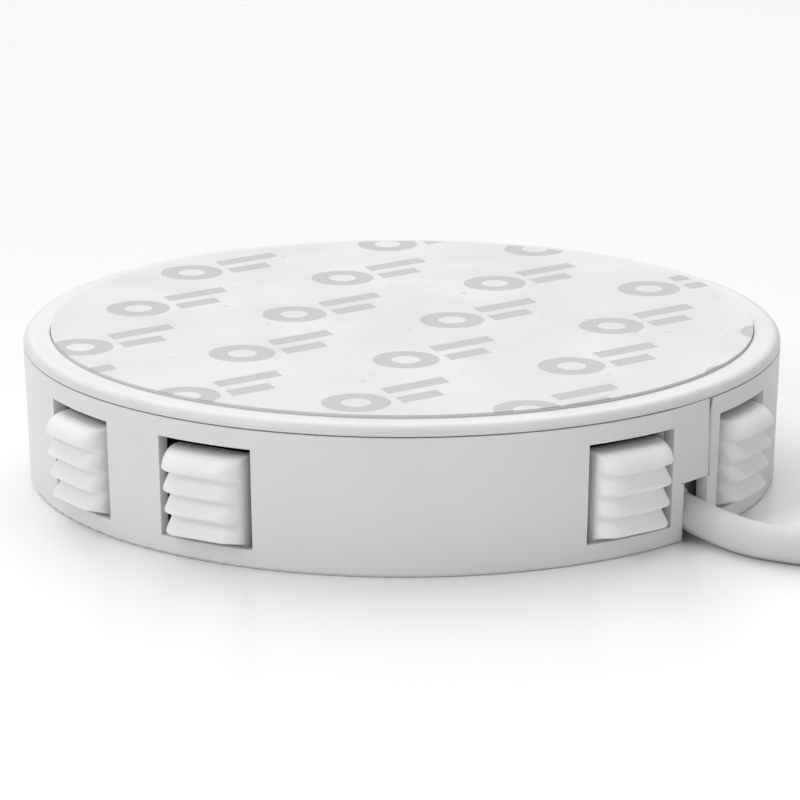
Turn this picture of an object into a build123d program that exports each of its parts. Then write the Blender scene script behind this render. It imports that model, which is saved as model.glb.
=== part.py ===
from build123d import *
import os
from math import cos, pi, radians, sin, tan

# A round four-port USB hub for a desk hole, lying port face down with its adhesive base up.
# Millimetres and degrees. +Z is up, the origin is the centre of the port face, and the cable
# leaves the wall between the +X and -Y axes.

# ---- body ----
hub_radius = 39.0          # outside of the wall where it meets the base plate
wall_height = 13.9         # port face to base plate
wall_thickness = 1.6
wall_draft = 0.4           # how much narrower the wall is at the port face
face_thickness = 1.8
foot_rounding = 0.4
slip_gap = 0.1             # clearance of parts that drop into each other
tab_room = 2.8             # free depth behind the wall for the tabs to flex into
ring_thickness = 1.4
ring_gap = 0.2             # inner ring to base plate

# ---- spring tabs and their windows ----
pair_angle = 12.9          # each window of a pair, measured from the middle of the pair
window_width = 10.3
window_top = 11.97
window_sill = 1.9
tab_side_gap = 0.55
tab_top_gap = 1.02
hinge_height = 1.95
hinge_inset = 2.05         # wall face to hinge axis
hinge_radius = 0.7         # rounded foot of a tab
hinge_clearance = 0.08
tab_back = 0.6             # hinge axis to the back face of the tab
tooth_count = 4
tooth_pitch = 2.19
tooth_blunt = 0.62         # height of a tooth's tip face
tooth_blunt_lean = 0.1     # how far the tip face slopes back
tooth_undercut = 0.6       # drop of a tooth's underside towards its root
tooth_depth = 1.18
tooth_reach = 1.85         # top tooth beyond the wall
tooth_lean = 0.22          # each lower tooth reaches this much less
top_tip_height = 9.27
shoulder_run = 2.0         # rounding above the top tooth, tip to flat top
shoulder_radius = 2.1
tooth_corner = 1.8         # rounding of the teeth seen from above

# ---- base plate, pad and liner ----
seam_gap = 0.16
seam_depth = 0.5
rim_height = 1.18
rim_rounding = 1.0
plate_depth = 0.8          # how far the plate reaches down inside the wall
rim_width = 2.7
pocket_depth = 0.58
pad_gap = 0.1
pad_thickness = 0.78
liner_thickness = 0.12

# ---- cable, slot and strain relief ----
cable_radius = 1.75
slot_angle = -45.0
slot_gap = 0.1
slot_height = 6.0          # bottom of the gate above the port face
gate_width = 4.2
gate_gap = 0.15
gate_recess = 0.35
gate_rounding = 0.35
gate_flange = 1.1          # how far the gate's flange reaches past the slot each side
gate_flange_thickness = 1.2
exit_inset = 2.8           # wall face to the strain relief's outer end
exit_height = 2.82
exit_drop = 13.0           # the cable slopes down to the surface
relief_body_wall = 1.25    # rubber round the cable, at the body, the neck and the tip
relief_body_length = 2.4
relief_neck_wall = 0.65
relief_neck_length = 3.9
relief_tip_wall = 0.3
inner_end_length = 12.0
clamp_distance = 9.0       # strain relief's outer end to the clamp
clamp_spread = 4.6         # clamp screws from the cable's middle
clamp_length = 3.4
clamp_thickness = 2.8
clamp_boss_radius = 2.2

# ---- circuit board and sockets ----
board_height = 10.2
board_thickness = 1.2
board_gap = 0.4            # board edge to the plate bosses
board_post_inset = 4.0     # board edge to the middle of its posts
post_radius = 2.5
boss_radius = 2.6
port_distance = 17.0       # hub centre to the middle of a socket
port_length = 13.1
port_width = 5.7
sheet = 0.3
port_inset = 0.4           # socket mouth behind the port face
port_margin = 0.15         # gap round each socket in the port face
tongue_length = 11.2
tongue_thickness = 1.84
tongue_gap = 1.0           # tongue to the near wall of the socket
socket_base = 2.0
contact_offsets = (-3.5, -1.0, 1.0, 3.5)
contact_width = 1.0
contact_thickness = 0.25
pin_width = 0.6
pin_hole_radius = 0.55
leg_width = 1.6
tail_length = 0.6          # pins and legs beyond the board

# ---- small board parts ----
chip_size = 7.0
chip_thickness = 0.9
chip_pins_per_side = 8
chip_pin_pitch = 0.75
crystal_distance = 10.8
crystal_length = 10.4
crystal_width = 4.2
crystal_height = 3.2
capacitor_distance = 22.0
capacitor_turn = 28.0
capacitor_radius = 2.0
capacitor_height = 5.4
fuse_distance = 9.6
chip_part_distance = 8.2
led_angle = 225.0
led_distance = 11.0
led_height = 0.8
light_pipe_radius = 1.5
light_pipe_flange = 0.7
header_distance = 18.5     # outer face of the header
header_plug_width = 7.0
header_plug_height = 2.6
header_plug_length = 5.0
header_wall = 0.7
header_depth = 3.0
wire_radius = 0.4
wire_pitch = 1.5
wire_spacing = 0.85        # wires side by side where they leave the sheath

# ---- screws ----
board_screw_radius = 1.0
plate_screw_radius = 1.2
clamp_screw_radius = 0.8
screw_clearance = 0.03
hole_clearance = 0.2
head_ratio = 1.85          # head radius over thread radius
head_height = 1.1
screw_length = 6.0
clamp_screw_length = 5.4

# ---- free cable, coil and plug ----
floor_gap = 0.02
tie_thickness = 0.5
tie_arc = 16.0
tie_angle = 90.0           # place of the tie round the coil
coil_centre = Vector(70.0, -17.0, 0.0)
coil_mean_radius = 20.5
coil_columns = 4
coil_layers = 2
coil_rounding = 1.6
plug_axis_x = 104.5
plug_start_y = -3.0
plug_relief_length = 9.0
plug_relief_radius = 2.7
plug_body_length = 24.0
plug_body_width = 15.6
plug_body_height = 8.0
plug_rounding = 1.6
plug_shell_width = 12.0
plug_shell_height = 4.5
plug_shell_length = 12.0
plug_shell_root = 3.0      # part of the shell inside the body
plug_tongue_thickness = 1.95

# ---- derived places ----
wall_inner = hub_radius - wall_thickness
ring_radius = wall_inner - tab_room
ring_inner = ring_radius - ring_thickness
plate_bottom = wall_height - plate_depth
rim_top = wall_height + rim_height
pocket_floor = rim_top - pocket_depth
pad_radius = hub_radius - rim_width - pad_gap
hinge_ring = hub_radius - hinge_inset
tab_width = window_width - 2 * tab_side_gap
board_top = board_height + board_thickness
boss_ring = ring_inner - boss_radius + ring_thickness / 4
board_radius = boss_ring - boss_radius - board_gap
post_ring = board_radius - board_post_inset
exit_radius = hub_radius - exit_inset
relief_body_radius = cable_radius + relief_body_wall
relief_neck_radius = cable_radius + relief_neck_wall
relief_tip_radius = cable_radius + relief_tip_wall
window_angles = [quarter + side * pair_angle for quarter in (45, 135, 225, 315) for side in (-1, 1)]
port_angles = (0, 90, 180, 270)
post_angles = (45, 135, 225)

os.makedirs("parts", exist_ok=True)


def finish(name, builder):
    """Label a finished piece and write it as its own file."""
    builder.part.label = name
    export_step(builder.part, f"parts/{name}.step")


def radial_plane(angle, centre=(0, 0, 0)):
    """An upright plane through a centre: x runs outwards at the angle, y runs up."""
    outward = Vector(cos(radians(angle)), sin(radians(angle)), 0)
    across = Vector(sin(radians(angle)), -cos(radians(angle)), 0)
    return Plane(origin=centre, x_dir=outward, z_dir=across)


def turned_plane(angle, height=0.0):
    """A level plane whose x axis points outwards at the angle."""
    outward = Vector(cos(radians(angle)), sin(radians(angle)), 0)
    return Plane(origin=(0, 0, height), x_dir=outward, z_dir=(0, 0, 1))


slot_plane = turned_plane(slot_angle)
exit_point = slot_plane.from_local_coords(Vector(exit_radius, 0, exit_height))
exit_way = slot_plane.x_dir * cos(radians(exit_drop)) - Vector(0, 0, sin(radians(exit_drop)))
exit_plane = Plane(origin=exit_point, x_dir=slot_plane.y_dir, z_dir=exit_way)
clamp_radius = exit_radius - clamp_distance * cos(radians(exit_drop))
clamp_height = exit_height + clamp_distance * sin(radians(exit_drop))


# ---- housing: port face, outer wall with windows, inner ring, posts and bosses ----
with BuildPart() as housing:
    with BuildSketch(Plane.XZ):
        with BuildLine():
            Polyline(
                (0, 0),
                (hub_radius - wall_draft, 0),
                (hub_radius, wall_height),
                (wall_inner, wall_height),
                (wall_inner, face_thickness),
                (ring_radius, face_thickness),
                (ring_radius, plate_bottom - ring_gap),
                (ring_inner, plate_bottom - ring_gap),
                (ring_inner, face_thickness),
                (0, face_thickness),
                close=True,
            )
        make_face()
    revolve(axis=Axis.Z)
    fillet(housing.edges().group_by(Axis.Z)[0], radius=foot_rounding)

    # bosses for the base plate and posts for the board
    with BuildSketch(Plane.XY.offset(face_thickness)):
        with PolarLocations(boss_ring, 4):
            Circle(boss_radius)
    extrude(amount=plate_bottom - face_thickness)
    with BuildSketch(Plane.XY.offset(face_thickness)):
        with PolarLocations(post_ring, len(post_angles), start_angle=post_angles[0], angular_range=270):
            Circle(post_radius)
    extrude(amount=board_height - face_thickness)
    with BuildSketch(slot_plane.offset(face_thickness)):
        with Locations((clamp_radius, clamp_spread), (clamp_radius, -clamp_spread)):
            Circle(clamp_boss_radius)
    extrude(amount=clamp_height - face_thickness)

    # pilot holes
    with BuildSketch(Plane.XY.offset(plate_bottom)):
        with PolarLocations(boss_ring, 4):
            Circle(plate_screw_radius + screw_clearance)
    extrude(amount=-screw_length, mode=Mode.SUBTRACT)
    with BuildSketch(Plane.XY.offset(board_height)):
        with PolarLocations(post_ring, len(post_angles), start_angle=post_angles[0], angular_range=270):
            Circle(board_screw_radius + screw_clearance)
    extrude(amount=-screw_length, mode=Mode.SUBTRACT)
    with BuildSketch(slot_plane.offset(clamp_height)):
        with Locations((clamp_radius, clamp_spread), (clamp_radius, -clamp_spread)):
            Circle(clamp_screw_radius + screw_clearance)
    extrude(amount=face_thickness - clamp_height, mode=Mode.SUBTRACT)

    # windows, each with a round cradle for the foot of its tab
    for side in (-1, 1):
        with BuildSketch(Plane.XY.offset(window_sill)):
            with PolarLocations(hub_radius, 4, start_angle=45 + side * pair_angle):
                Rectangle(2 * tab_room, window_width)
        extrude(amount=window_top - window_sill, mode=Mode.SUBTRACT)
        with Locations((0, 0, hinge_height)):
            with PolarLocations(hinge_ring, 4, start_angle=45 + side * pair_angle):
                Cylinder(
                    hinge_radius + hinge_clearance,
                    window_width,
                    rotation=(90, 0, 0),
                    mode=Mode.SUBTRACT,
                )

    # sockets and light pipe through the port face
    with BuildSketch(Plane.XY):
        with PolarLocations(port_distance, 4):
            Rectangle(port_width + 2 * port_margin, port_length + 2 * port_margin)
        with PolarLocations(led_distance, 1, start_angle=led_angle):
            Circle(light_pipe_radius + slip_gap)
    extrude(amount=face_thickness, mode=Mode.SUBTRACT)

    # stepped cable slot: narrow below for the cable, wider above for the gate
    with BuildSketch(slot_plane):
        with Locations((hub_radius, 0)):
            Rectangle(2 * (hub_radius - ring_radius), 2 * (cable_radius + slot_gap))
    extrude(amount=slot_height, mode=Mode.SUBTRACT)
    with BuildSketch(slot_plane.offset(slot_height)):
        with Locations((hub_radius, 0)):
            Rectangle(4 * wall_thickness, gate_width + 2 * gate_gap)
    extrude(amount=wall_height - slot_height, mode=Mode.SUBTRACT)

    # seat for the strain relief, open upwards through the inner ring
    with BuildSketch(exit_plane.offset(slip_gap)):
        Circle(relief_neck_radius + slip_gap)
        with Locations((0, wall_height / 2)):
            Rectangle(2 * (relief_neck_radius + slip_gap), wall_height)
    extrude(amount=-relief_neck_length - 2 * slip_gap, mode=Mode.SUBTRACT)
    with BuildSketch(exit_plane.offset(-relief_neck_length + slip_gap)):
        Circle(relief_body_radius + slip_gap)
    extrude(amount=-relief_body_length - 2 * slip_gap, mode=Mode.SUBTRACT)
finish("housing", housing)


# ---- gate: curved panel that closes the slot above the cable ----
with BuildPart() as cable_gate:
    with BuildSketch(Plane.XY.offset(slot_height)):
        Circle(hub_radius - gate_recess)
        Circle(wall_inner - slip_gap, mode=Mode.SUBTRACT)
    extrude(amount=wall_height - slot_height - slip_gap)
    with BuildSketch(slot_plane):
        with Locations((hub_radius, 0)):
            Rectangle(4 * wall_thickness, gate_width)
    extrude(amount=wall_height, mode=Mode.INTERSECT)
    lower_edges = cable_gate.faces().sort_by(Axis.Z)[0].edges().sort_by(SortBy.LENGTH)[:2]
    fillet(lower_edges, radius=gate_rounding)
    with BuildSketch(Plane.XY.offset(slot_height)) as flange:
        Circle(wall_inner - slip_gap)
        Circle(wall_inner - slip_gap - gate_flange_thickness, mode=Mode.SUBTRACT)
        with Locations(slot_plane.location * Location((hub_radius, 0, 0))):
            Rectangle(6 * wall_thickness, gate_width + 2 * gate_flange, mode=Mode.INTERSECT)
    extrude(amount=plate_bottom - slot_height - slip_gap)
finish("cable_gate", cable_gate)


# ---- spring tabs: toothed fingers that grip the edge of the desk hole ----
def tooth_points():
    """Corners of the tab's toothed front, as distances from the hub's axis and heights, top tip first."""
    crest = hub_radius + tooth_reach
    foot = hinge_ring + hinge_radius
    points = [(crest, top_tip_height)]
    for tooth in range(1, tooth_count):
        tip = crest - tooth * tooth_lean
        height = top_tip_height - tooth * tooth_pitch
        root = (tip + tooth_lean - tooth_depth, height + tooth_pitch - tooth_undercut)
        points += [root, (tip - tooth_blunt_lean, height + tooth_blunt), (tip, height)]
    return points + [(foot, hinge_height + hinge_clearance), (foot, hinge_height)]


def spring_tab(angle):
    """One tab, standing in its window at the angle."""
    back = hinge_ring - tab_back
    top = window_top - tab_top_gap
    crest = hub_radius + tooth_reach
    shoulder = (crest - shoulder_run, top)
    with BuildPart() as tab:
        with BuildSketch(radial_plane(angle)):
            with BuildLine():
                Polyline(*tooth_points(), (back, hinge_height), (back, top), shoulder)
                RadiusArc(shoulder, (crest, top_tip_height), shoulder_radius)
            make_face()
            with Locations((hinge_ring, hinge_height)):
                Circle(hinge_radius)
        extrude(amount=tab_width / 2, both=True)
        with BuildSketch(turned_plane(angle)):
            with Locations((hinge_ring - 2 * hinge_radius, 0)):
                Rectangle(crest - hinge_ring + 2 * hinge_radius, tab_width, align=(Align.MIN, Align.CENTER))
            fillet(vertices().sort_by(Axis.X)[-2:], radius=tooth_corner)
        extrude(amount=wall_height, mode=Mode.INTERSECT)
    return tab


for number, angle in enumerate(window_angles, start=1):
    finish(f"spring_tab_{number}", spring_tab(angle))


# ---- base plate with a rounded rim and a pocket for the pad ----
with BuildPart() as base_plate:
    with BuildSketch(Plane.XZ):
        with BuildLine():
            Polyline(
                (0, plate_bottom),
                (wall_inner - slip_gap, plate_bottom),
                (wall_inner - slip_gap, wall_height),
                (hub_radius - seam_depth, wall_height),
                (hub_radius - seam_depth, wall_height + seam_gap),
                (hub_radius, wall_height + seam_gap),
                (hub_radius, rim_top),
                (hub_radius - rim_width, rim_top),
                (hub_radius - rim_width, pocket_floor),
                (0, pocket_floor),
                close=True,
            )
        make_face()
    revolve(axis=Axis.Z)
    rim_edge = base_plate.edges().group_by(Axis.Z)[-1].sort_by(SortBy.RADIUS)[-1]
    fillet(rim_edge, radius=rim_rounding)
    with Locations((0, 0, pocket_floor)):
        with PolarLocations(boss_ring, 4):
            CounterSinkHole(
                plate_screw_radius + hole_clearance,
                plate_screw_radius * head_ratio + hole_clearance,
                depth=2 * plate_depth + rim_height,
            )
finish("base_plate", base_plate)

with BuildPart() as adhesive_pad:
    with BuildSketch(Plane.XY.offset(pocket_floor)):
        Circle(pad_radius)
    extrude(amount=pad_thickness)
finish("adhesive_pad", adhesive_pad)

with BuildPart() as release_liner:
    with BuildSketch(Plane.XY.offset(pocket_floor + pad_thickness)):
        Circle(pad_radius)
    extrude(amount=liner_thickness)
finish("release_liner", release_liner)


# ---- screws ----
def screw_heads_and_shanks(thread_radius, height, length=screw_length):
    """Pan-head screws with a cross recess, in the locations in force, seated at the height."""
    recess = thread_radius * 1.4
    with Locations((0, 0, height)):
        Cylinder(thread_radius, length, align=(Align.CENTER, Align.CENTER, Align.MAX))
        Cylinder(thread_radius * head_ratio, head_height, align=(Align.CENTER, Align.CENTER, Align.MIN))
    with Locations((0, 0, height + head_height)):
        for slot_x, slot_y in ((2 * recess, recess / 3), (recess / 3, 2 * recess)):
            Box(slot_x, slot_y, head_height, mode=Mode.SUBTRACT)


with BuildPart() as board_screws:
    with PolarLocations(post_ring, len(post_angles), start_angle=post_angles[0], angular_range=270):
        screw_heads_and_shanks(board_screw_radius, board_top)
finish("board_screws", board_screws)

with BuildPart(slot_plane) as clamp_screws:
    with Locations((clamp_radius, clamp_spread), (clamp_radius, -clamp_spread)):
        screw_heads_and_shanks(clamp_screw_radius, clamp_height + clamp_thickness, clamp_screw_length)
finish("clamp_screws", clamp_screws)

with BuildPart() as plate_screws:
    head = plate_screw_radius * head_ratio
    with Locations((0, 0, pocket_floor - slip_gap)):
        with PolarLocations(boss_ring, 4):
            Cylinder(plate_screw_radius, screw_length, align=(Align.CENTER, Align.CENTER, Align.MAX))
            Cone(
                plate_screw_radius,
                head,
                head - plate_screw_radius,
                align=(Align.CENTER, Align.CENTER, Align.MAX),
            )
            Box(1.6 * head, head / 4, head / 2, mode=Mode.SUBTRACT)
            Box(head / 4, 1.6 * head, head / 2, mode=Mode.SUBTRACT)
finish("plate_screws", plate_screws)


# ---- circuit board ----
with BuildPart() as circuit_board:
    with BuildSketch(Plane.XY.offset(board_height)):
        Circle(board_radius)
        with PolarLocations(post_ring, len(post_angles), start_angle=post_angles[0], angular_range=270):
            Circle(board_screw_radius + hole_clearance, mode=Mode.SUBTRACT)
        for angle in port_angles:
            with Locations(turned_plane(angle).location * Location((port_distance, 0, 0))):
                with Locations(*[(0, offset) for offset in contact_offsets]):
                    Circle(pin_hole_radius, mode=Mode.SUBTRACT)
                with Locations(*[(0, side * (port_length - sheet) / 2) for side in (-1, 1)]):
                    Rectangle(leg_width + hole_clearance, 3 * sheet, mode=Mode.SUBTRACT)
    extrude(amount=board_thickness)
finish("circuit_board", circuit_board)


# ---- the four sockets: folded metal shell, insulating tongue, four contacts each ----
def port_shell(angle):
    """Metal shell, open at the port face, with two legs through the board."""
    with BuildPart(turned_plane(angle, port_inset)) as shell:
        with Locations((port_distance, 0)):
            Box(port_width, port_length, board_height - port_inset, align=(Align.CENTER, Align.CENTER, Align.MIN))
            Box(
                port_width - 2 * sheet,
                port_length - 2 * sheet,
                board_height - port_inset,
                align=(Align.CENTER, Align.CENTER, Align.MIN),
                mode=Mode.SUBTRACT,
            )
        leg = board_top + tail_length - port_inset
        with Locations(*[(port_distance, side * (port_length - sheet) / 2) for side in (-1, 1)]):
            Box(leg_width, sheet, leg, align=(Align.CENTER, Align.CENTER, Align.MIN))
    return shell


def tongue_face():
    """Distance of the tongue's contact side from the hub's axis."""
    return port_distance + port_width / 2 - sheet - tongue_gap - tongue_thickness


def port_tongue(angle):
    """Insulating block behind the shell with the tongue reaching to the mouth."""
    with BuildPart(turned_plane(angle)) as tongue:
        with Locations((port_distance, 0, board_height)):
            Box(
                port_width - 2 * sheet,
                port_length - 2 * sheet,
                socket_base,
                align=(Align.CENTER, Align.CENTER, Align.MAX),
            )
        with Locations((tongue_face(), 0, 2 * port_inset)):
            Box(
                tongue_thickness,
                tongue_length,
                board_height - socket_base - 2 * port_inset,
                align=(Align.MIN, Align.CENTER, Align.MIN),
            )
        slot = contact_width + 2 * slip_gap
        with Locations(*[(port_distance, offset, board_height) for offset in contact_offsets]):
            reach = 2 * (port_distance - tongue_face() + contact_thickness + slip_gap)
            Box(reach, slot, 2 * socket_base + slip_gap, mode=Mode.SUBTRACT)
    return tongue


def port_contacts(angle):
    """Four spring contacts along the tongue, each with a pin through the board."""
    with BuildPart(turned_plane(angle)) as contacts:
        for offset in contact_offsets:
            with Locations((tongue_face(), offset, 4 * port_inset)):
                Box(
                    contact_thickness,
                    contact_width,
                    board_height - socket_base / 2 - 4 * port_inset,
                    align=(Align.MAX, Align.CENTER, Align.MIN),
                )
            with Locations((tongue_face() - contact_thickness, offset, board_height - socket_base / 2)):
                Box(
                    port_distance - tongue_face() + contact_thickness + pin_width / 2,
                    contact_width,
                    contact_thickness,
                    align=(Align.MIN, Align.CENTER, Align.MAX),
                )
            with Locations((port_distance, offset, board_height - socket_base / 2 - contact_thickness)):
                Box(
                    pin_width,
                    pin_width,
                    board_thickness + tail_length + socket_base / 2 + contact_thickness,
                    align=(Align.CENTER, Align.CENTER, Align.MIN),
                )
    return contacts


for number, angle in enumerate(port_angles, start=1):
    finish(f"port_shell_{number}", port_shell(angle))
    finish(f"port_tongue_{number}", port_tongue(angle))
    finish(f"port_contacts_{number}", port_contacts(angle))


# ---- parts under the board ----
on_top = (Align.CENTER, Align.CENTER, Align.MAX)   # hangs from the board's underside

with BuildPart(Plane.XY.offset(board_height)) as hub_chip:
    Box(chip_size, chip_size, chip_thickness, align=on_top)
    with Locations((-chip_size / 3, chip_size / 3, -chip_thickness)):
        Cylinder(chip_size / 18, chip_thickness / 3, mode=Mode.SUBTRACT)
finish("hub_chip", hub_chip)

with BuildPart(Plane.XY.offset(board_height)) as chip_pins:
    for quarter in range(4):
        with Locations(Location((0, 0, 0), (0, 0, 90 * quarter))):
            with Locations((chip_size / 2 + pin_width / 2, 0)):
                with GridLocations(0, chip_pin_pitch, 1, chip_pins_per_side):
                    Box(pin_width, chip_pin_pitch / 2, chip_thickness / 2, align=on_top)
finish("chip_pins", chip_pins)

with BuildPart() as crystal:
    with BuildSketch(turned_plane(135, board_height)):
        with Locations((crystal_distance, 0)):
            SlotOverall(crystal_length, crystal_width, rotation=90)
    extrude(amount=-crystal_height)
    fillet(crystal.faces().sort_by(Axis.Z)[0].edges(), radius=crystal_height / 6)
finish("crystal", crystal)

with BuildPart() as bulk_capacitors:
    with BuildSketch(Plane.XY.offset(board_height)):
        with PolarLocations(capacitor_distance, 4, start_angle=capacitor_turn):
            Circle(capacitor_radius)
    extrude(amount=-capacitor_height)
    fillet(bulk_capacitors.edges().group_by(Axis.Z)[0], radius=capacitor_radius / 6)
finish("bulk_capacitors", bulk_capacitors)

with BuildPart(Plane.XY.offset(board_height)) as port_fuses:
    with PolarLocations(fuse_distance, 4):
        Box(3.2, 4.5, 0.9, align=on_top)
finish("port_fuses", port_fuses)

with BuildPart(Plane.XY.offset(board_height)) as small_chip_parts:
    with PolarLocations(chip_part_distance, 8, start_angle=22.5):
        Box(0.8, 1.6, 0.6, align=on_top)
finish("small_chip_parts", small_chip_parts)

with BuildPart(turned_plane(led_angle, board_height)) as status_led:
    with Locations((led_distance, 0)):
        Box(2.0, 1.25, led_height, align=on_top)
finish("status_led", status_led)

with BuildPart(turned_plane(led_angle)) as light_pipe:
    with Locations((led_distance, 0, slip_gap)):
        Cylinder(
            light_pipe_radius,
            board_height - led_height - 2 * slip_gap,
            align=(Align.CENTER, Align.CENTER, Align.MIN),
        )
    with Locations((led_distance, 0, face_thickness)):
        Cylinder(
            light_pipe_radius + light_pipe_flange,
            light_pipe_flange,
            align=(Align.CENTER, Align.CENTER, Align.MIN),
        )
finish("light_pipe", light_pipe)


# ---- where the cable comes in: header, its plug, wires, inner end, clamp, strain relief ----
header_height = header_plug_height + 2 * (header_wall + slip_gap)
header_middle = board_height - header_height / 2
plug_back = header_distance - header_depth + header_plug_length

with BuildPart(slot_plane) as cable_header:
    with Locations((header_distance, 0, board_height)):
        Box(
            header_depth + header_wall,
            header_plug_width + 2 * (header_wall + slip_gap),
            header_height,
            align=(Align.MAX, Align.CENTER, Align.MAX),
        )
    with Locations((header_distance, 0, header_middle)):
        Box(
            header_depth,
            header_plug_width + 2 * slip_gap,
            header_plug_height + 2 * slip_gap,
            align=(Align.MAX, Align.CENTER, Align.CENTER),
            mode=Mode.SUBTRACT,
        )
finish("cable_header", cable_header)

with BuildPart(slot_plane) as header_plug:
    with Locations((plug_back, 0, header_middle)):
        Box(
            header_plug_length - slip_gap,
            header_plug_width,
            header_plug_height,
            align=(Align.MAX, Align.CENTER, Align.CENTER),
        )
finish("header_plug", header_plug)

with BuildPart() as strain_relief:
    with BuildSketch(Plane(origin=exit_point, x_dir=slot_plane.y_dir, z_dir=-exit_plane.y_dir)):
        # x is the distance from the cable's middle, y runs along the cable towards the outside
        with BuildLine():
            Polyline(
                (cable_radius, 0),
                (relief_tip_radius, 0),
                (relief_neck_radius, -relief_neck_length / 4),
                (relief_neck_radius, -relief_neck_length),
                (relief_body_radius, -relief_neck_length),
                (relief_body_radius, -relief_neck_length - relief_body_length),
                (cable_radius, -relief_neck_length - relief_body_length),
                close=True,
            )
        make_face()
    revolve(axis=Axis(exit_point, exit_way))
finish("strain_relief", strain_relief)

with BuildPart() as cable_inner_end:
    with BuildSketch(exit_plane):
        Circle(cable_radius)
    extrude(amount=-inner_end_length)
finish("cable_inner_end", cable_inner_end)

with BuildPart() as cable_clamp:
    with BuildSketch(slot_plane.offset(clamp_height)):
        with Locations((clamp_radius, 0)):
            Rectangle(clamp_length, 2 * (clamp_spread + clamp_boss_radius))
        with Locations((clamp_radius, clamp_spread), (clamp_radius, -clamp_spread)):
            Circle(clamp_screw_radius + screw_clearance, mode=Mode.SUBTRACT)
    extrude(amount=clamp_thickness)
    with BuildSketch(exit_plane):
        Circle(cable_radius + screw_clearance)
    extrude(amount=-inner_end_length, mode=Mode.SUBTRACT)
finish("cable_clamp", cable_clamp)

with BuildPart() as cable_wires:
    sheath_end = exit_plane.offset(-inner_end_length)
    for offset in (-1.5, -0.5, 0.5, 1.5):
        start = sheath_end.from_local_coords(Vector(offset * wire_spacing, 0, 0))
        clear = start - exit_way * 3 * wire_radius
        end = slot_plane.from_local_coords(Vector(plug_back, offset * wire_pitch, header_middle))
        before = end + slot_plane.x_dir * 3 * wire_radius
        with BuildLine() as wire:
            FilletPolyline(start, clear, before, end, radius=wire_radius)
        with BuildSketch(Plane(origin=wire.line @ 0, z_dir=wire.line % 0)):
            Circle(wire_radius)
        sweep(path=wire.line)
finish("cable_wires", cable_wires)


# ---- free cable: a lead to the coil, the tied coil, and the end to the plug ----
def corner_radii(name, route):
    """The largest arc that fits each corner of the route, printed in cable diameters."""
    radii = []
    for before, corner, after in zip(route, route[1:], route[2:]):
        half_turn = radians((corner - before).get_angle(after - corner)) / 2
        shorter = min((corner - before).length, (after - corner).length)
        radii.append(0.45 * shorter / tan(half_turn))
    print(name, "radii in diameters:", [round(radius / (2 * cable_radius), 1) for radius in radii])
    return radii


def cable_tube(name, route):
    """Round cable along straight runs joined by tangent arcs."""
    with BuildPart() as tube:
        with BuildLine() as path:
            FilletPolyline(*route, radius=corner_radii(name, route))
        with BuildSketch(Plane(origin=path.line @ 0, z_dir=path.line % 0)):
            Circle(cable_radius)
        sweep(path=path.line)
    length = path.wire().length
    print(name, "length", round(length, 1), "volume over section times length",
          round(tube.part.volume / (pi * cable_radius**2 * length), 4))
    return tube


lying = cable_radius + floor_gap
layer_heights = [tie_thickness + cable_radius * (2 * layer + 1) for layer in range(coil_layers)]
coil_width = 2 * cable_radius * coil_columns
coil_outer_turn = coil_mean_radius + coil_width / 2 - cable_radius
coil_leave_angle = -40.0
coil_leave = coil_centre + Vector(coil_outer_turn, 0, layer_heights[-1]).rotate(Axis.Z, coil_leave_angle)
plug_height = plug_body_height / 2

lead_route = [
    exit_point,
    Vector(28.7, -28.7, 1.8),
    Vector(33.3, -35.1, lying),
    Vector(46.9, -39.8, lying),
    Vector(59.5, -42.4, 2.0),
    coil_centre + Vector(0, -coil_outer_turn, layer_heights[0]),
]
end_route = [
    coil_leave,
    Vector(95.0, -27.4, 4.9),
    Vector(101.0, -19.0, 2.2),
    Vector(plug_axis_x, -9.0, plug_height),
    Vector(plug_axis_x, plug_start_y, plug_height),
]
finish("cable_lead", cable_tube("cable_lead", lead_route))
finish("cable_end", cable_tube("cable_end", end_route))

coil_axis = Axis(coil_centre, (0, 0, 1))
coil_height = 2 * cable_radius * coil_layers
coil_middle = (coil_mean_radius, tie_thickness + coil_height / 2)

with BuildPart() as cable_coil:
    with BuildSketch(radial_plane(0, coil_centre)):
        with Locations(coil_middle):
            RectangleRounded(coil_width, coil_height, coil_rounding)
    revolve(axis=coil_axis)
finish("cable_coil", cable_coil)

with BuildPart() as coil_tie:
    with BuildSketch(radial_plane(tie_angle - tie_arc / 2, coil_centre)):
        with Locations(coil_middle):
            RectangleRounded(
                coil_width + 2 * tie_thickness,
                coil_height + 2 * tie_thickness,
                coil_rounding + tie_thickness,
            )
            RectangleRounded(coil_width, coil_height, coil_rounding, mode=Mode.SUBTRACT)
    revolve(axis=coil_axis, revolution_arc=tie_arc)
finish("coil_tie", coil_tie)

plug_start = Plane(origin=(plug_axis_x, plug_start_y, plug_height), x_dir=(-1, 0, 0), z_dir=(0, 1, 0))
body_start = plug_start.offset(plug_relief_length)
body_end = body_start.offset(plug_body_length)

with BuildPart() as plug_relief:
    with BuildSketch(plug_start):
        Circle(cable_radius + 2 * sheet)
    with BuildSketch(body_start):
        Circle(plug_relief_radius)
    loft()
finish("plug_relief", plug_relief)

with BuildPart() as plug_body:
    with BuildSketch(body_start):
        RectangleRounded(plug_body_width, plug_body_height, plug_rounding)
    extrude(amount=plug_body_length)
    ends = plug_body.faces().filter_by(Axis.Y)
    fillet(ends.edges(), radius=plug_rounding / 2)
    with BuildSketch(body_end):
        Rectangle(plug_shell_width + slip_gap, plug_shell_height + slip_gap)
    extrude(amount=-plug_shell_root, mode=Mode.SUBTRACT)
finish("plug_body", plug_body)

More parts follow.
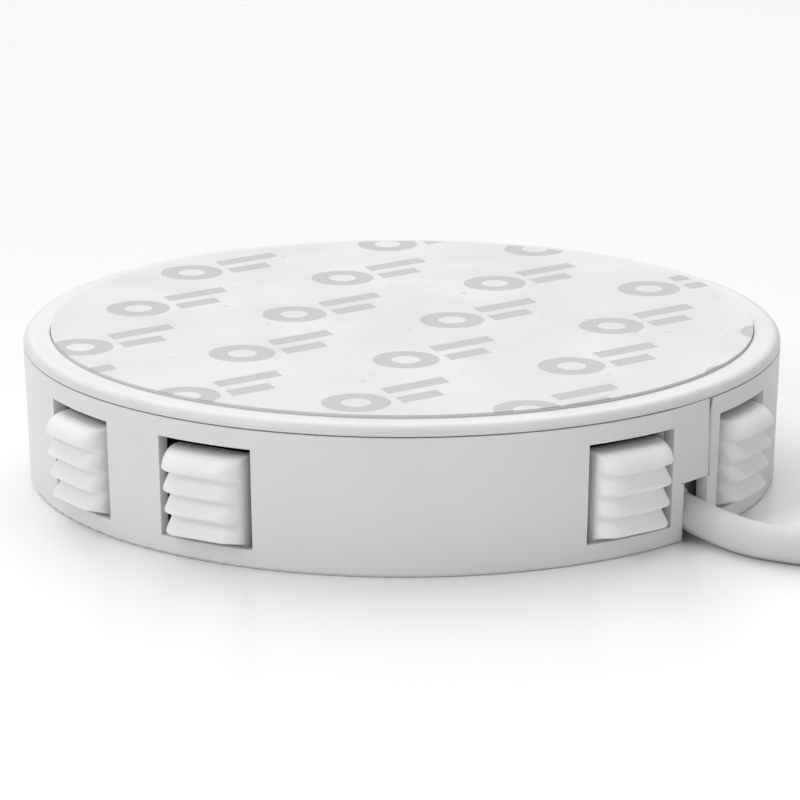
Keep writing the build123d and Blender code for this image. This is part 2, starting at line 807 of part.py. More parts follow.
with BuildPart() as plug_shell:
    with BuildSketch(body_end.offset(-plug_shell_root)):
        Rectangle(plug_shell_width, plug_shell_height)
        Rectangle(plug_shell_width - 2 * sheet, plug_shell_height - 2 * sheet, mode=Mode.SUBTRACT)
    extrude(amount=plug_shell_root + plug_shell_length)
    with BuildSketch(Plane.XY.offset(plug_height)):
        with Locations((plug_axis_x, body_end.origin.Y + plug_shell_length / 2)):
            with GridLocations(plug_shell_width / 2, 0, 2, 1):
                Rectangle(2.5, 2.0)
    extrude(amount=plug_body_height, mode=Mode.SUBTRACT)
finish("plug_shell", plug_shell)

tongue_low = -(plug_shell_height / 2 - sheet)
with BuildPart(body_end.offset(-plug_shell_root)) as plug_insulator:
    with Locations((0, tongue_low)):
        Box(
            plug_shell_width - 2 * sheet,
            plug_tongue_thickness,
            plug_shell_root + plug_shell_length - sheet,
            align=(Align.CENTER, Align.MIN, Align.MIN),
        )
finish("plug_insulator", plug_insulator)

with BuildPart(body_end) as plug_contacts:
    with Locations(*[(offset, tongue_low + plug_tongue_thickness) for offset in contact_offsets]):
        Box(
            contact_width,
            sheet / 3,
            plug_shell_length - 3 * sheet,
            align=(Align.CENTER, Align.MIN, Align.MIN),
        )
finish("plug_contacts", plug_contacts)
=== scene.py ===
from math import cos, floor, radians, sin, sqrt

import bmesh
import bpy
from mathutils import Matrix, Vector


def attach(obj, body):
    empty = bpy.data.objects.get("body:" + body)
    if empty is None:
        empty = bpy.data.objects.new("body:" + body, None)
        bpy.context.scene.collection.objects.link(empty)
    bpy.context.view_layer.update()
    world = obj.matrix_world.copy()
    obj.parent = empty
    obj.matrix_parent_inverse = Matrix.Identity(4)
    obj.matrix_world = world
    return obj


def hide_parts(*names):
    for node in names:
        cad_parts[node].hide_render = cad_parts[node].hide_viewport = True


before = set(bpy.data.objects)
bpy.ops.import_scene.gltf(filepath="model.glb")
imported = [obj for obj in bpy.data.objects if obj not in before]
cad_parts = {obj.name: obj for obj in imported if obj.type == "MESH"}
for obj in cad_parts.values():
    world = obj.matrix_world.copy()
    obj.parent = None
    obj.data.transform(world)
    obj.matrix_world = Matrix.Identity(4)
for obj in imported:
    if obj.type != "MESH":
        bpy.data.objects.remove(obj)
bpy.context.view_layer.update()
mm = 0.001
print("frame loaded")


# small helpers

def linkNew(name, data):
    piece = bpy.data.objects.new(name, data)
    bpy.context.scene.collection.objects.link(piece)
    return piece


def meshPiece(name, bm, smooth=True):
    mesh = bpy.data.meshes.new(name)
    bm.normal_update()
    bm.to_mesh(mesh)
    bm.free()
    for face in mesh.polygons:
        face.use_smooth = smooth
    return linkNew(name, mesh)


def bakeModifiers(piece):
    graph = bpy.context.evaluated_depsgraph_get()
    graph.update()
    baked = bpy.data.meshes.new_from_object(piece.evaluated_get(graph))
    piece.modifiers.clear()
    old = piece.data
    piece.data = baked
    bpy.data.meshes.remove(old)
    baked.name = piece.name
    return piece


def handIn(piece, material, body="hub", nodes=()):
    # every piece ends here: its finish, the body it rides on, the CAD nodes it stands for
    piece.data.materials.clear()
    piece.data.materials.append(material)
    if nodes:
        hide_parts(*nodes)
    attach(piece, body)
    return piece


# geometry node helpers: a tree with named inputs, grown into a plain mesh

class GeoTree:
    def __init__(self, name, takesMesh=False, **inputs):
        self.tree = bpy.data.node_groups.new(name, "GeometryNodeTree")
        self.defaults = inputs
        self.keys = {}
        sockets = self.tree.interface
        if takesMesh:
            sockets.new_socket(name="Geometry", in_out="INPUT", socket_type="NodeSocketGeometry")
        kinds = {float: "NodeSocketFloat", int: "NodeSocketInt"}
        for label, value in inputs.items():
            kind = kinds.get(type(value), "NodeSocketMaterial")
            self.keys[label] = sockets.new_socket(name=label, in_out="INPUT", socket_type=kind).identifier
        sockets.new_socket(name="Geometry", in_out="OUTPUT", socket_type="NodeSocketGeometry")
        self.source = self.tree.nodes.new("NodeGroupInput")
        self.sink = self.tree.nodes.new("NodeGroupOutput")

    def ask(self, label):
        return self.source.outputs[label]

    def add(self, kind, inputs, out=0, **settings):
        node = self.tree.nodes.new(kind)
        for key, value in settings.items():
            setattr(node, key, value)
        for key, value in inputs.items():
            if isinstance(value, bpy.types.NodeSocket):
                self.tree.links.new(value, node.inputs[key])
            else:
                node.inputs[key].default_value = value
        return node.outputs[out]

    def calc(self, kind, a, b=0.0, clamp=False):
        return self.add("ShaderNodeMath", {0: a, 1: b}, operation=kind, use_clamp=clamp)

    def vector(self, x, y, z):
        return self.add("ShaderNodeCombineXYZ", {0: x, 1: y, 2: z})

    def split(self, vector):
        node = self.tree.nodes.new("ShaderNodeSeparateXYZ")
        self.tree.links.new(vector, node.inputs[0])
        return node.outputs

    def finish(self, geometry):
        whole = self.add("GeometryNodeRealizeInstances", {"Geometry": geometry})
        dressed = self.add("GeometryNodeSetMaterial", {"Geometry": whole, "Material": self.ask("finish")})
        self.tree.links.new(dressed, self.sink.inputs[0])

    def grow(self, name, mesh=None, **values):
        piece = linkNew(name, mesh or bpy.data.meshes.new(name))
        modifier = piece.modifiers.new("grow", "NODES")
        modifier.node_group = self.tree
        for label, value in {**self.defaults, **values}.items():
            modifier[self.keys[label]] = value
        return bakeModifiers(piece)


def creased(piece, angle=35):
    for face in piece.data.polygons:
        face.use_smooth = True
    piece.data.set_sharp_from_angle(angle=radians(angle))
    return piece


# node material helpers

class Shader:
    def __init__(self, name):
        self.material = bpy.data.materials.new(name)
        self.material.use_nodes = True
        self.tree = self.material.node_tree
        self.nodes, self.links = self.tree.nodes, self.tree.links
        self.surface = self.nodes["Principled BSDF"]
        self.place = self.nodes.new("ShaderNodeTexCoord").outputs["Object"]

    def set(self, **values):
        for name, value in values.items():
            self.surface.inputs[name.replace("_", " ")].default_value = value

    def link(self, a, b):
        self.links.new(a, b)

    def noise(self, size, detail=3.0, rough=0.5, source=None, distortion=0.0):
        node = self.nodes.new("ShaderNodeTexNoise")
        node.inputs["Scale"].default_value = 1 / size
        node.inputs["Detail"].default_value = detail
        node.inputs["Roughness"].default_value = rough
        node.inputs["Distortion"].default_value = distortion
        self.link(source or self.place, node.inputs["Vector"])
        return node.outputs["Fac"]

    def cells(self, size, feature="F1"):
        node = self.nodes.new("ShaderNodeTexVoronoi")
        node.feature = feature
        node.inputs["Scale"].default_value = 1 / size
        self.link(self.place, node.inputs["Vector"])
        return node.outputs["Distance"]

    def math(self, kind, a, b=0.0, clamp=False):
        node = self.nodes.new("ShaderNodeMath")
        node.operation = kind
        node.use_clamp = clamp
        for socket, value in zip(node.inputs, (a, b)):
            if isinstance(value, (int, float)):
                socket.default_value = value
            else:
                self.link(value, socket)
        return node.outputs[0]

    def span(self, value, low, high, toLow=0.0, toHigh=1.0):
        node = self.nodes.new("ShaderNodeMapRange")
        node.interpolation_type = "SMOOTHSTEP"
        self.link(value, node.inputs["Value"])
        for key, number in (("From Min", low), ("From Max", high), ("To Min", toLow), ("To Max", toHigh)):
            node.inputs[key].default_value = number
        return node.outputs["Result"]

    def blend(self, amount, first, second):
        node = self.nodes.new("ShaderNodeMix")
        node.data_type = "RGBA"
        node.clamp_factor = True
        for socket, value in zip((node.inputs[0], node.inputs[6], node.inputs[7]), (amount, first, second)):
            if isinstance(value, (tuple, list)):
                socket.default_value = (*value[:3], 1.0)
            else:
                self.link(value, socket)
        return node.outputs[2]

    def dot(self, vector, x, y, z=0.0):
        node = self.nodes.new("ShaderNodeVectorMath")
        node.operation = "DOT_PRODUCT"
        self.link(vector, node.inputs[0])
        node.inputs[1].default_value = (x, y, z)
        return node.outputs["Value"]

    def bump(self, height, depth, after=None):
        node = self.nodes.new("ShaderNodeBump")
        node.inputs["Strength"].default_value = 1.0
        node.inputs["Distance"].default_value = depth
        self.link(height, node.inputs["Height"])
        if after:
            self.link(after, node.inputs["Normal"])
        return node.outputs["Normal"]

    def colour(self, socket):
        self.link(socket, self.surface.inputs["Base Color"])

    def roughness(self, socket):
        self.link(socket, self.surface.inputs["Roughness"])

    def normal(self, socket):
        self.link(socket, self.surface.inputs["Normal"])


def shade(colour, factor):
    return tuple(channel * factor for channel in colour[:3])


# moulded plastic: spark-eroded grain, faint flow marks, a little handling wear in the gloss
def mouldedShader(name, colour, roughness=0.42, grain=0.22, grainDepth=0.006, flow=0.02):
    s = Shader(name)
    flowMarks = s.noise(14 * mm, detail=4)
    fine = s.noise(grain * mm, detail=2)
    s.colour(s.blend(s.span(flowMarks, 0.3, 0.7), shade(colour, 1 - flow), shade(colour, 1 + flow)))
    s.roughness(s.span(s.math("ADD", flowMarks, s.math("MULTIPLY", fine, 0.5)), 0.4, 1.1,
                       roughness - 0.05, roughness + 0.07))
    s.normal(s.bump(fine, grainDepth * mm))
    s.set(IOR=1.49)
    return s


def mouldedPlastic(name, colour, **kind):
    return mouldedShader(name, colour, **kind).material


# painted shade: the inside of the wall is in deep shadow, so its plastic colour is painted darker there;
# sizes in mm
insideShade = {
    "reach": 37.3,                 # darker nearer than this to the hub's axis
    "above": 1.75,                 # and higher than this
    "edge": 0.1,
    "tone": (0.03, 0.03, 0.032),
    "slotLeft": (-3.2, -2.4),      # light comes in along the cable slot, between these fades
    "slotRight": (8, 10),
}


def shadedInside(name, colour, p):
    s = mouldedShader(name, colour)
    outer = s.surface.inputs["Base Color"].links[0].from_socket
    apart = s.nodes.new("ShaderNodeSeparateXYZ")
    s.link(s.place, apart.inputs[0])
    x, y, z = apart.outputs
    away = s.math("SQRT", s.math("ADD", s.math("MULTIPLY", x, x), s.math("MULTIPLY", y, y)))
    within = s.math("MULTIPLY", s.span(away, (p["reach"] - p["edge"]) * mm, p["reach"] * mm, 1, 0),
                    s.span(z, (p["above"] - p["edge"]) * mm, p["above"] * mm))
    offSlot = s.dot(s.place, sqrt(0.5), sqrt(0.5))
    right = s.span(offSlot, *(v * mm for v in p["slotRight"]))
    left = s.span(offSlot, *(v * mm for v in p["slotLeft"]), 1, 0)
    within = s.math("MULTIPLY", within, s.math("ADD", right, left))
    # painted shade: the inside surfaces are blended to the dark tone, except where light comes in along the
    # slot
    s.colour(s.blend(within, outer, p["tone"]))
    return s.material


# soft vinyl or rubber: broader orange-peel and finer specks of dust in it
def softVinyl(name, colour, roughness=0.5, peel=0.6):
    s = Shader(name)
    broad = s.noise(peel * mm, detail=2)
    dust = s.span(s.noise(0.35 * mm, detail=1), 0.72, 0.78)
    tone = s.blend(s.span(s.noise(9 * mm), 0.3, 0.7), shade(colour, 0.97), shade(colour, 1.02))
    s.colour(s.blend(s.math("MULTIPLY", dust, 0.35), tone, shade(colour, 0.8)))
    s.roughness(s.span(broad, 0.3, 0.7, roughness - 0.06, roughness + 0.08))
    s.normal(s.bump(broad, 0.012 * mm))
    s.set(IOR=1.5)
    return s.material


# rolled or plated sheet: long fine scratches along one way, slightly uneven plating
def platedMetal(name, colour, roughness=0.2, along=(1, 1, 0.08), depth=0.0015):
    s = Shader(name)
    stretch = s.nodes.new("ShaderNodeMapping")
    stretch.inputs["Scale"].default_value = along
    s.link(s.place, stretch.inputs["Vector"])
    lines = s.noise(0.12 * mm, detail=2, source=stretch.outputs[0])
    cloud = s.noise(2.5 * mm, detail=3)
    s.colour(s.blend(cloud, shade(colour, 0.92), shade(colour, 1.03)))
    s.roughness(s.span(lines, 0.3, 0.7, roughness - 0.05, roughness + 0.1))
    s.normal(s.bump(lines, depth * mm))
    s.set(Metallic=1.0)
    return s.material


def foamTape(name, colour):
    s = Shader(name)
    pores = s.cells(0.14 * mm)
    # painted shade: the pores are painted a little darker than the foam around them
    s.colour(s.blend(s.span(pores, 0.1, 0.6), shade(colour, 0.9), colour))
    s.normal(s.bump(pores, 0.012 * mm))
    s.set(Roughness=0.85)
    return s.material


# board: solder mask over copper tracks, weave showing faintly in the gloss
def solderMask(name, colour):
    s = Shader(name)
    tracks = s.span(s.cells(2.2 * mm, "DISTANCE_TO_EDGE"), 0.05, 0.09)
    weave = s.noise(0.4 * mm, detail=1)
    s.colour(s.blend(tracks, shade(colour, 1.7), colour))
    s.roughness(s.span(weave, 0.3, 0.7, 0.24, 0.34))
    s.normal(s.bump(tracks, 0.02 * mm))
    return s.material


def clearMoulding(name):
    s = Shader(name)
    haze = s.noise(1.2 * mm, detail=2)
    s.roughness(s.span(haze, 0.3, 0.7, 0.12, 0.24))
    s.normal(s.bump(haze, 0.004 * mm))
    s.set(Base_Color=(0.86, 0.9, 0.93, 1), Transmission_Weight=0.8, IOR=1.49)
    return s.material


# release paper: coated, a few fibres and specks, and a plain repeated print of a ring and bars
linerPrint = {
    "across": (16.24, -3.24),      # one print to the next along a row, mm
    "down": (-5.56, -15.74),       # one row to the next
    "start": (8.78, 2.32),         # middle of one print
    "turn": 33.2,                  # slope of the print's baseline, degrees
    "ink": (0.50, 0.50, 0.505),
    "paper": (0.745, 0.74, 0.73),
    "bars": ((7.4, 1.75), (5.0, -1.75)), "barWidth": 2.1, "barStart": -0.1, "slant": 0.22,
    "ringRadius": 2.4, "ringWidth": 1.9,
}


def releasePaper(name, p):
    s = Shader(name)
    ax, ay = (v * mm for v in p["across"])
    bx, by = (v * mm for v in p["down"])
    sx, sy = (v * mm for v in p["start"])
    area = ax * by - ay * bx
    shifted = s.nodes.new("ShaderNodeVectorMath")
    shifted.operation = "SUBTRACT"
    s.link(s.place, shifted.inputs[0])
    shifted.inputs[1].default_value = (sx, sy, 0)
    place = shifted.outputs[0]
    # how many prints across and down, and how far from the nearest one
    rows = [s.dot(place, by / area, -bx / area), s.dot(place, -ay / area, ax / area)]
    part = [s.math("SUBTRACT", s.math("FRACT", s.math("ADD", r, 0.5)), 0.5) for r in rows]
    x = s.math("ADD", s.math("MULTIPLY", part[0], ax), s.math("MULTIPLY", part[1], bx))
    y = s.math("ADD", s.math("MULTIPLY", part[0], ay), s.math("MULTIPLY", part[1], by))
    c, n = cos(radians(p["turn"])), sin(radians(p["turn"]))
    u = s.math("ADD", s.math("MULTIPLY", x, c), s.math("MULTIPLY", y, n))
    v = s.math("SUBTRACT", s.math("MULTIPLY", y, c), s.math("MULTIPLY", x, n))
    edge = 0.07 * mm

    def inside(value, half):
        return s.span(s.math("ABSOLUTE", value), half * mm - edge, half * mm + edge, 1, 0)

    # ring on the left
    ru = s.math("ADD", u, 4.3 * mm)
    away = s.math("SQRT", s.math("ADD", s.math("MULTIPLY", ru, ru), s.math("MULTIPLY", v, v)))
    ring = inside(s.math("SUBTRACT", away, p["ringRadius"] * mm), p["ringWidth"] / 2)
    # two slanted bars on the right, the lower one shorter
    lean = s.math("SUBTRACT", u, s.math("MULTIPLY", v, p["slant"]))
    ink = ring
    for length, height in p["bars"]:
        middle = p["barStart"] + length / 2
        bar = s.math("MULTIPLY", inside(s.math("SUBTRACT", lean, middle * mm), length / 2),
                     inside(s.math("SUBTRACT", v, height * mm), p["barWidth"] / 2))
        ink = s.math("MAXIMUM", ink, bar, clamp=True)
    # the ink is a little uneven, and the paper has faint clouds, fibres and a few specks
    wear = s.span(s.noise(0.5 * mm, detail=3), 0.25, 0.6, 0.78, 1.0)
    cloud = s.span(s.noise(11 * mm, detail=4), 0.3, 0.7)
    paper = s.blend(cloud, shade(p["paper"], 0.965), shade(p["paper"], 1.01))
    specks = s.math("MULTIPLY", s.span(s.noise(1.1 * mm, detail=0.0), 0.80, 0.83), 0.35)
    paper = s.blend(specks, paper, shade(p["paper"], 0.45))
    s.colour(s.blend(s.math("MULTIPLY", ink, wear), paper, p["ink"]))
    s.roughness(s.span(cloud, 0, 1, 0.34, 0.44))
    ripple = s.noise(16 * mm, detail=1)
    s.normal(s.bump(s.noise(0.3 * mm, detail=2), 0.004 * mm, s.bump(ripple, 0.12 * mm)))
    s.set(IOR=1.45)
    return s.material


bodyWhite = mouldedPlastic("bodyWhite", (0.80, 0.80, 0.805))
housingWhitePaintedShade = shadedInside("housingWhitePaintedShade", (0.78, 0.78, 0.785), insideShade)
# painted light: the tabs are the wall's white plastic painted lighter, for the light on the teeth's upward
# slopes
tabWhitePaintedLight = mouldedPlastic("tabWhitePaintedLight", (0.92, 0.92, 0.925))
plateWhite = mouldedPlastic("plateWhite", (0.76, 0.76, 0.762), roughness=0.4)
clampGrey = mouldedPlastic("clampGrey", (0.7, 0.7, 0.7))
socketNylon = mouldedPlastic("socketNylon", (0.8, 0.8, 0.78), roughness=0.5, grain=0.15)
headerNylon = mouldedPlastic("headerNylon", (0.82, 0.78, 0.66), roughness=0.5, grain=0.15)
chipEpoxy = mouldedPlastic("chipEpoxy", (0.02, 0.02, 0.022), roughness=0.6, grain=0.1)
fuseCoat = mouldedPlastic("fuseCoat", (0.05, 0.22, 0.12), roughness=0.4, grain=0.2)
tieNylon = mouldedPlastic("tieNylon", (0.045, 0.045, 0.05), roughness=0.6, grain=0.3, grainDepth=0.02)
cableSheath = softVinyl("cableSheath", (0.68, 0.68, 0.685))
plugVinyl = softVinyl("plugVinyl", (0.78, 0.78, 0.785), roughness=0.46)
nickel = platedMetal("nickel", (0.73, 0.73, 0.75))
zinc = platedMetal("zinc", (0.6, 0.61, 0.64), roughness=0.3)
tinned = platedMetal("tinned", (0.75, 0.75, 0.74), roughness=0.34)
gold = platedMetal("gold", (0.9, 0.66, 0.28), roughness=0.22)
padFoam = foamTape("padFoam", (0.79, 0.79, 0.78))
boardGreen = solderMask("boardGreen", (0.012, 0.12, 0.045))
clearPipe = clearMoulding("clearPipe")
linerPaper = releasePaper("linerPaper", linerPrint)
wireVinyl = softVinyl("wireVinyl", (0.45, 0.03, 0.03), roughness=0.4, peel=0.3)
print("materials made")


# camera, at the height and distance that shows the hub from just above the desk

view = {"aim": Vector((0, 0, 13.9)) * mm, "distance": 0.404, "swing": -2.8, "rise": 14.49,
        "forward": Vector((0.04659, 0.96274, -0.26640)), "lens": 175.7}


def makeCamera(v):
    camera = linkNew("camera", bpy.data.cameras.new("camera"))
    swing, rise = radians(v["swing"]), radians(v["rise"])
    away = Vector((sin(swing) * cos(rise), -cos(swing) * cos(rise), sin(rise)))
    camera.location = v["aim"] + away * v["distance"]
    camera.rotation_euler = v["forward"].to_track_quat("-Z", "Y").to_euler()
    camera.data.lens = v["lens"]
    camera.data.sensor_width = 36
    camera.data.clip_start = 0.01
    camera.data.clip_end = 20
    bpy.context.scene.camera = camera


makeCamera(view)


# cable: its route from the wall, the tied coil, and the end to the plug

cable = {
    "radius": 1.75, "coilMiddle": (70.0, -17.0), "coilRadius": 20.5, "columns": 4, "tie": 0.5,
    "pointsPerTurn": 16, "shiftFrom": 190.0, "shiftTo": 245.0, "comesIn": -90.0, "goesOut": -40.0,
    "lead": [(25.598, -25.598, 2.82), (28.7, -28.7, 1.8), (33.3, -35.1, 1.77), (46.9, -39.8, 1.77),
             (59.5, -42.4, 2.0)],
    "end": [(95.0, -27.4, 4.9), (101.0, -19.0, 2.2), (104.5, -9.0, 4.0), (104.5, -3.0, 4.0)],
}


def coilPoints(p):
    # outer turn inwards on the lower layer, up, then outwards again on the upper layer
    step = 360 / p["pointsPerTurn"]
    spread = 1 / cos(radians(step / 2))           # control points stand outside the curve they pull
    width = 2 * p["radius"]
    first = p["coilRadius"] - width * (p["columns"] - 1) / 2
    columns = list(range(p["columns"] - 1, -1, -1)) + list(range(p["columns"]))
    heights = [p["tie"] + p["radius"]] * p["columns"] + [p["tie"] + 3 * p["radius"]] * p["columns"]
    start, stop = p["comesIn"] + 360, 360 * len(columns) + p["goesOut"]
    points = []
    for k in range(int((stop - start) / step) + 1):
        angle = start + k * step
        turn = floor((angle - p["shiftTo"]) / 360) + 1          # how many shifts are behind
        into = (angle - p["shiftFrom"] - 360 * turn) / (p["shiftTo"] - p["shiftFrom"])
        ease = min(max(into, 0.0), 1.0)
        ease = ease * ease * (3 - 2 * ease)
        turn = min(turn, len(columns) - 1)
        after = min(turn + 1, len(columns) - 1)
        radius = (first + width * (columns[turn] * (1 - ease) + columns[after] * ease)) * spread
        height = heights[turn] * (1 - ease) + heights[after] * ease
        points.append((p["coilMiddle"][0] + radius * cos(radians(angle)),
                       p["coilMiddle"][1] + radius * sin(radians(angle)), height))
    return points


def makeCable(p):
    curve = bpy.data.curves.new("cable", "CURVE")
    curve.dimensions = "3D"
    route = p["lead"] + coilPoints(p) + p["end"]
    spline = curve.splines.new("NURBS")
    spline.points.add(len(route) - 1)
    for point, place in zip(spline.points, route):
        point.co = (*(Vector(place) * mm), 1)
    spline.order_u = 3
    spline.use_endpoint_u = True
    spline.resolution_u = 6
    curve.bevel_depth = p["radius"] * mm
    curve.bevel_resolution = 6
    curve.use_fill_caps = True
    return linkNew("cable", curve)


cableCurve = handIn(makeCable(cable), cableSheath,
                    nodes=("cable_lead", "cable_coil", "cable_end"))
print("cable laid")


# CAD pieces with softened edges: a merged copy, flat faces joined, a small bevel on sharp edges

def softEdged(node, material, width, body="hub", segments=2, sharp=28):
    piece = linkNew(node + ".soft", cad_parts[node].data.copy())
    bm = bmesh.new()
    bm.from_mesh(piece.data)
    bmesh.ops.remove_doubles(bm, verts=bm.verts, dist=0.002 * mm)
    bmesh.ops.dissolve_limit(bm, angle_limit=radians(0.4), verts=bm.verts, edges=bm.edges)
    bm.to_mesh(piece.data)
    bm.free()
    bevel = piece.modifiers.new("edges", "BEVEL")
    bevel.width = width * mm
    bevel.segments = segments
    bevel.limit_method = "ANGLE"
    bevel.angle_limit = radians(sharp)
    bevel.use_clamp_overlap = True
    bevel.harden_normals = True
    bakeModifiers(piece)
    for face in piece.data.polygons:
        face.use_smooth = True
    return handIn(piece, material, body, nodes=(node,))


def trueRounds(piece, tolerance=4):
    # walls that stand round the hub's axis are shaded as true cones, not as their facets
    mesh = piece.data
    normals = [corner.vector.copy() for corner in mesh.corner_normals]
    for face in mesh.polygons:
        lean = face.normal.z
        for corner in face.loop_indices:
            place = mesh.vertices[mesh.loops[corner].vertex_index].co
            out = Vector((place.x, place.y, 0)).normalized()
            side = 1 if face.normal.dot(out) > 0 else -1
            true = out * side * sqrt(1 - lean * lean) + Vector((0, 0, lean))
            if face.normal.dot(true) > cos(radians(tolerance)):
                normals[corner] = true
    mesh.normals_split_custom_set(normals)


def finishNode(node, material):
    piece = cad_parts[node]
    piece.data.materials.clear()
    piece.data.materials.append(material)


# spring tabs: one toothed section carried along a path that bends back at both ends

tab = {
    # the toothed face, in mm from the hub's axis and above the desk
    "crest": 40.85, "topTip": 9.27, "teeth": 4, "pitch": 2.19, "lean": 0.22,
    "blunt": 0.26, "bluntLean": 0.04, "depth": 1.42, "undercut": 0.68,
    "shoulderRun": 2.0, "shoulderSteps": 6, "top": 10.95,
    "back": 36.35, "backFrom": 0.6,                # the back starts this far above the foot's middle
    "foot": (36.95, 1.95), "footRadius": 0.7, "footSteps": 7, "footTurn": (4, 184),
    # across the tab: half its flat part, then a corner that turns back by turn radians
    "halfFlat": 2.42, "corner": 1.8, "turn": 1.4, "edge": 0.15, "steps": 41, "stiffOver": 0.3,
    "pairMiddles": (45, 135, 225, 315), "fromMiddle": 12.9,
}


def tabSection(p):
    # x is the distance from the hub's axis, y the height; the shoulder and the foot are arcs
    points = []
    reach, rise = p["shoulderRun"], p["top"] - p["topTip"]
    for k in range(p["shoulderSteps"] + 1):
        turn = radians(90 * k / p["shoulderSteps"])
        points.append((p["crest"] - reach + reach * sin(turn), p["topTip"] + rise * cos(turn)))
    for tooth in range(1, p["teeth"]):
        tip = p["crest"] - tooth * p["lean"]
        height = p["topTip"] - tooth * p["pitch"]
        points += [(tip + p["lean"] - p["depth"], height + p["pitch"] - p["undercut"]),
                   (tip - p["bluntLean"], height + p["blunt"]), (tip, height)]
    footX, footY = p["foot"]
    start, sweep = p["footTurn"]
    for k in range(p["footSteps"] + 1):
        angle = radians(start - sweep * k / p["footSteps"])
        points.append((footX + p["footRadius"] * cos(angle), footY + p["footRadius"] * sin(angle)))
    points += [(p["back"], footY + p["backFrom"]), (p["back"], p["top"])]
    mesh = bpy.data.meshes.new("tabSection")
    mesh.from_pydata([(x * mm, y * mm, 0) for x, y in points],
                     [(k, (k + 1) % len(points)) for k in range(len(points))], [])
    return mesh


def makeTabTree(p):
    t = GeoTree("toothedTab", takesMesh=True, halfFlat=p["halfFlat"] * mm, corner=p["corner"] * mm,
                turn=p["turn"], edge=p["edge"] * mm, steps=p["steps"],
                stiffTo=p["foot"][0] * mm + p["footRadius"] * mm, stiffOver=p["stiffOver"] * mm,
                angle=0.0, finish=tabWhitePaintedLight)
    section = t.add("GeometryNodeMeshToCurve", {"Mesh": t.ask("Geometry")})
    section = t.add("GeometryNodeFilletCurve", {"Curve": section, "Count": 3, "Radius": t.ask("edge"),
                                                "Limit Radius": True}, mode="POLY")
    path = t.add("GeometryNodeCurvePrimitiveLine", {"Start": (-1, 0, 0), "End": (1, 0, 0)})
    path = t.add("GeometryNodeResampleCurve", {"Curve": path, "Count": t.ask("steps")})
    swept = t.add("GeometryNodeCurveToMesh", {"Curve": path, "Profile Curve": section, "Fill Caps": True})
    along, across, up = t.split(t.add("GeometryNodeInputPosition", {}))
    # the path's middle two thirds are flat, then it turns back round the corner radius
    away = t.calc("ABSOLUTE", along)
    flat = t.calc("MULTIPLY", t.calc("MINIMUM", away, 2 / 3), t.calc("MULTIPLY", t.ask("halfFlat"), 1.5))
    turned = t.calc("MULTIPLY", t.calc("MAXIMUM", t.calc("SUBTRACT", away, 2 / 3), 0.0), 3.0)
    turned = t.calc("MULTIPLY", turned, t.ask("turn"))
    sideways = t.calc("ADD", flat, t.calc("MULTIPLY", t.calc("SINE", turned), t.ask("corner")))
    sideways = t.calc("MULTIPLY", sideways, t.calc("SIGN", along))
    drop = t.calc("MULTIPLY", t.calc("SUBTRACT", 1.0, t.calc("COSINE", turned)), t.ask("corner"))
    # the foot and the back stay straight
    reach = t.calc("ABSOLUTE", across)
    follows = t.calc("DIVIDE", t.calc("SUBTRACT", reach, t.ask("stiffTo")), t.ask("stiffOver"), clamp=True)
    reach = t.calc("SUBTRACT", reach, t.calc("MULTIPLY", drop, follows))
    height = t.calc("MULTIPLY", up, -1.0)
    place = t.vector(reach, sideways, height)
    bent = t.add("GeometryNodeSetPosition", {"Geometry": swept, "Position": place})
    turnTo = t.vector(0.0, 0.0, t.ask("angle"))
    t.finish(t.add("GeometryNodeTransform", {"Geometry": bent, "Rotation": turnTo}))
    return t


def makeTabs(p):
    tree = makeTabTree(p)
    number = 0
    for middle in p["pairMiddles"]:
        for side in (-1, 1):
            number += 1
            angle = radians(middle + side * p["fromMiddle"])
            piece = tree.grow(f"tab_{number}.toothed", tabSection(p), angle=angle)
            bm = bmesh.new()
            bm.from_mesh(piece.data)
            bmesh.ops.recalc_face_normals(bm, faces=bm.faces)
            bm.to_mesh(piece.data)
            bm.free()
            creased(piece)
            handIn(piece, tabWhitePaintedLight, f"tab_{number}", nodes=(f"spring_tab_{number}",))


makeTabs(tab)
housing = softEdged("housing", housingWhitePaintedShade, 0.08, segments=2)
trueRounds(housing)
gate = softEdged("cable_gate", bodyWhite, 0.08)
trueRounds(gate)
print("tabs, wall and gate made")

for node, material, slot, width in (
    ("plug_body", plugVinyl, "plug_plastic", 0.1),
    ("cable_clamp", clampGrey, "clamp_plastic", 0.15),
    ("cable_header", headerNylon, "header_plastic", 0.1),
    ("header_plug", headerNylon, "header_plastic", 0.1),
    ("plug_shell", nickel, "plated_shell", 0.08),
    ("plug_insulator", socketNylon, "socket_plastic", 0.12),
):
    softEdged(node, material, width)
print("edges softened")

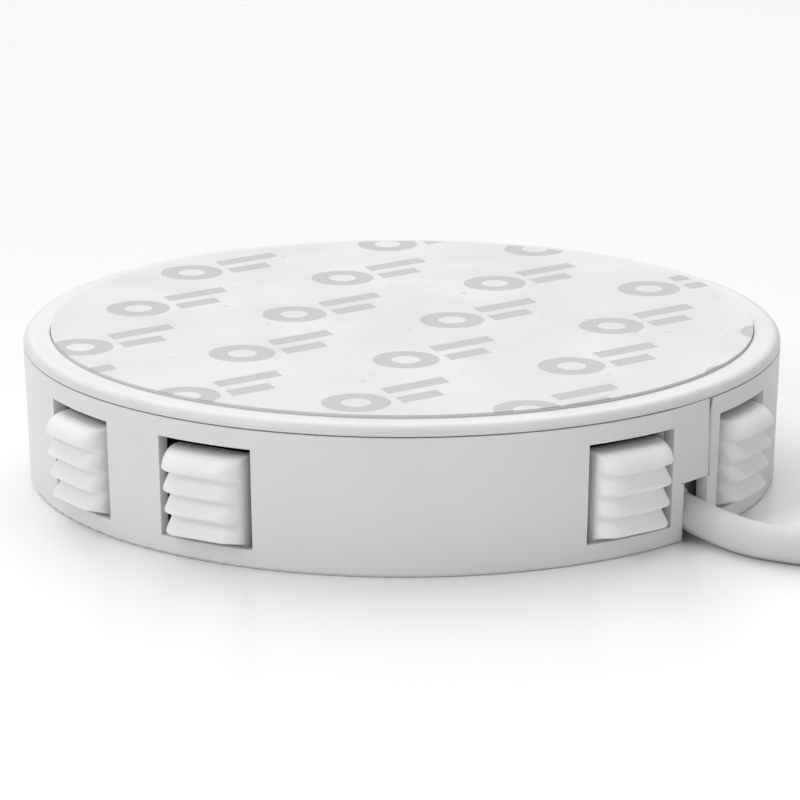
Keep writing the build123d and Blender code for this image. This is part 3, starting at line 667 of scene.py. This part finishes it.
for node, material in (
    ("base_plate", plateWhite), ("adhesive_pad", padFoam), ("release_liner", linerPaper),
    ("board_screws", zinc), ("clamp_screws", zinc), ("plate_screws", zinc), ("circuit_board", boardGreen),
    ("hub_chip", chipEpoxy), ("bulk_capacitors", chipEpoxy), ("small_chip_parts", chipEpoxy),
    ("chip_pins", tinned), ("crystal", tinned), ("port_fuses", fuseCoat), ("status_led", clearPipe),
    ("light_pipe", clearPipe), ("cable_wires", wireVinyl), ("cable_inner_end", cableSheath),
    ("strain_relief", plugVinyl), ("plug_relief", plugVinyl), ("plug_contacts", gold),
    ("coil_tie", tieNylon),
):
    finishNode(node, material)
for number in range(1, 5):
    finishNode(f"port_shell_{number}", nickel)
    finishNode(f"port_tongue_{number}", socketNylon)
    finishNode(f"port_contacts_{number}", gold)


# floor and light

studio = {
    "floorSize": 6, "floorDrop": 0.02, "floorTone": 0.94, "floorIor": 1.7, "floorRough": (0.24, 0.3),
    "world": 0.40,
    # name, place, aim, size in metres, power in watts
    "lights": (
        ("topLight", (-0.1, 0.55, 1.0), (0, 0.35, 0), (1.5, 1.2), 9.5),
        ("leftLight", (-0.8, -0.6, 0.75), (0, 0, 0), (0.6, 0.6), 4.0),
        ("rightLight", (0.8, -0.75, 0.7), (0, 0, 0), (0.5, 0.5), 1.2),
        ("backLight", (0, 1.5, 0.9), (0, 1.1, 0), (2.6, 1.2), 8.0),
    ),
}


def makeFloor(p):
    bm = bmesh.new()
    bmesh.ops.create_grid(bm, x_segments=1, y_segments=1, size=p["floorSize"])
    s = Shader("floorWhite")
    s.set(Base_Color=(p["floorTone"], p["floorTone"], p["floorTone"], 1), IOR=p["floorIor"])
    s.roughness(s.span(s.noise(0.3, detail=2), 0.3, 0.7, *p["floorRough"]))
    bmesh.ops.translate(bm, verts=bm.verts, vec=(0, 0, -p["floorDrop"] * mm))
    ground = meshPiece("floor", bm, smooth=False)
    ground.data.materials.append(s.material)


def softbox(name, place, aim, size, power):
    light = bpy.data.lights.new(name, "AREA")
    light.shape = "RECTANGLE"
    light.size, light.size_y = size
    light.energy = power
    lamp = bpy.data.objects.new(name, light)
    bpy.context.scene.collection.objects.link(lamp)
    lamp.location = place
    lamp.rotation_euler = (Vector(aim) - Vector(place)).to_track_quat("-Z", "Y").to_euler()


def makeWorld(strength):
    world = bpy.data.worlds.new("studio")
    bpy.context.scene.world = world
    world.use_nodes = True
    world.node_tree.nodes["Background"].inputs["Color"].default_value = (1, 1, 1, 1)
    world.node_tree.nodes["Background"].inputs["Strength"].default_value = strength


makeFloor(studio)
makeWorld(studio["world"])
for lamp in studio["lights"]:
    softbox(*lamp)
bpy.context.scene.view_settings.view_transform = "Standard"
print("floor and lights set")
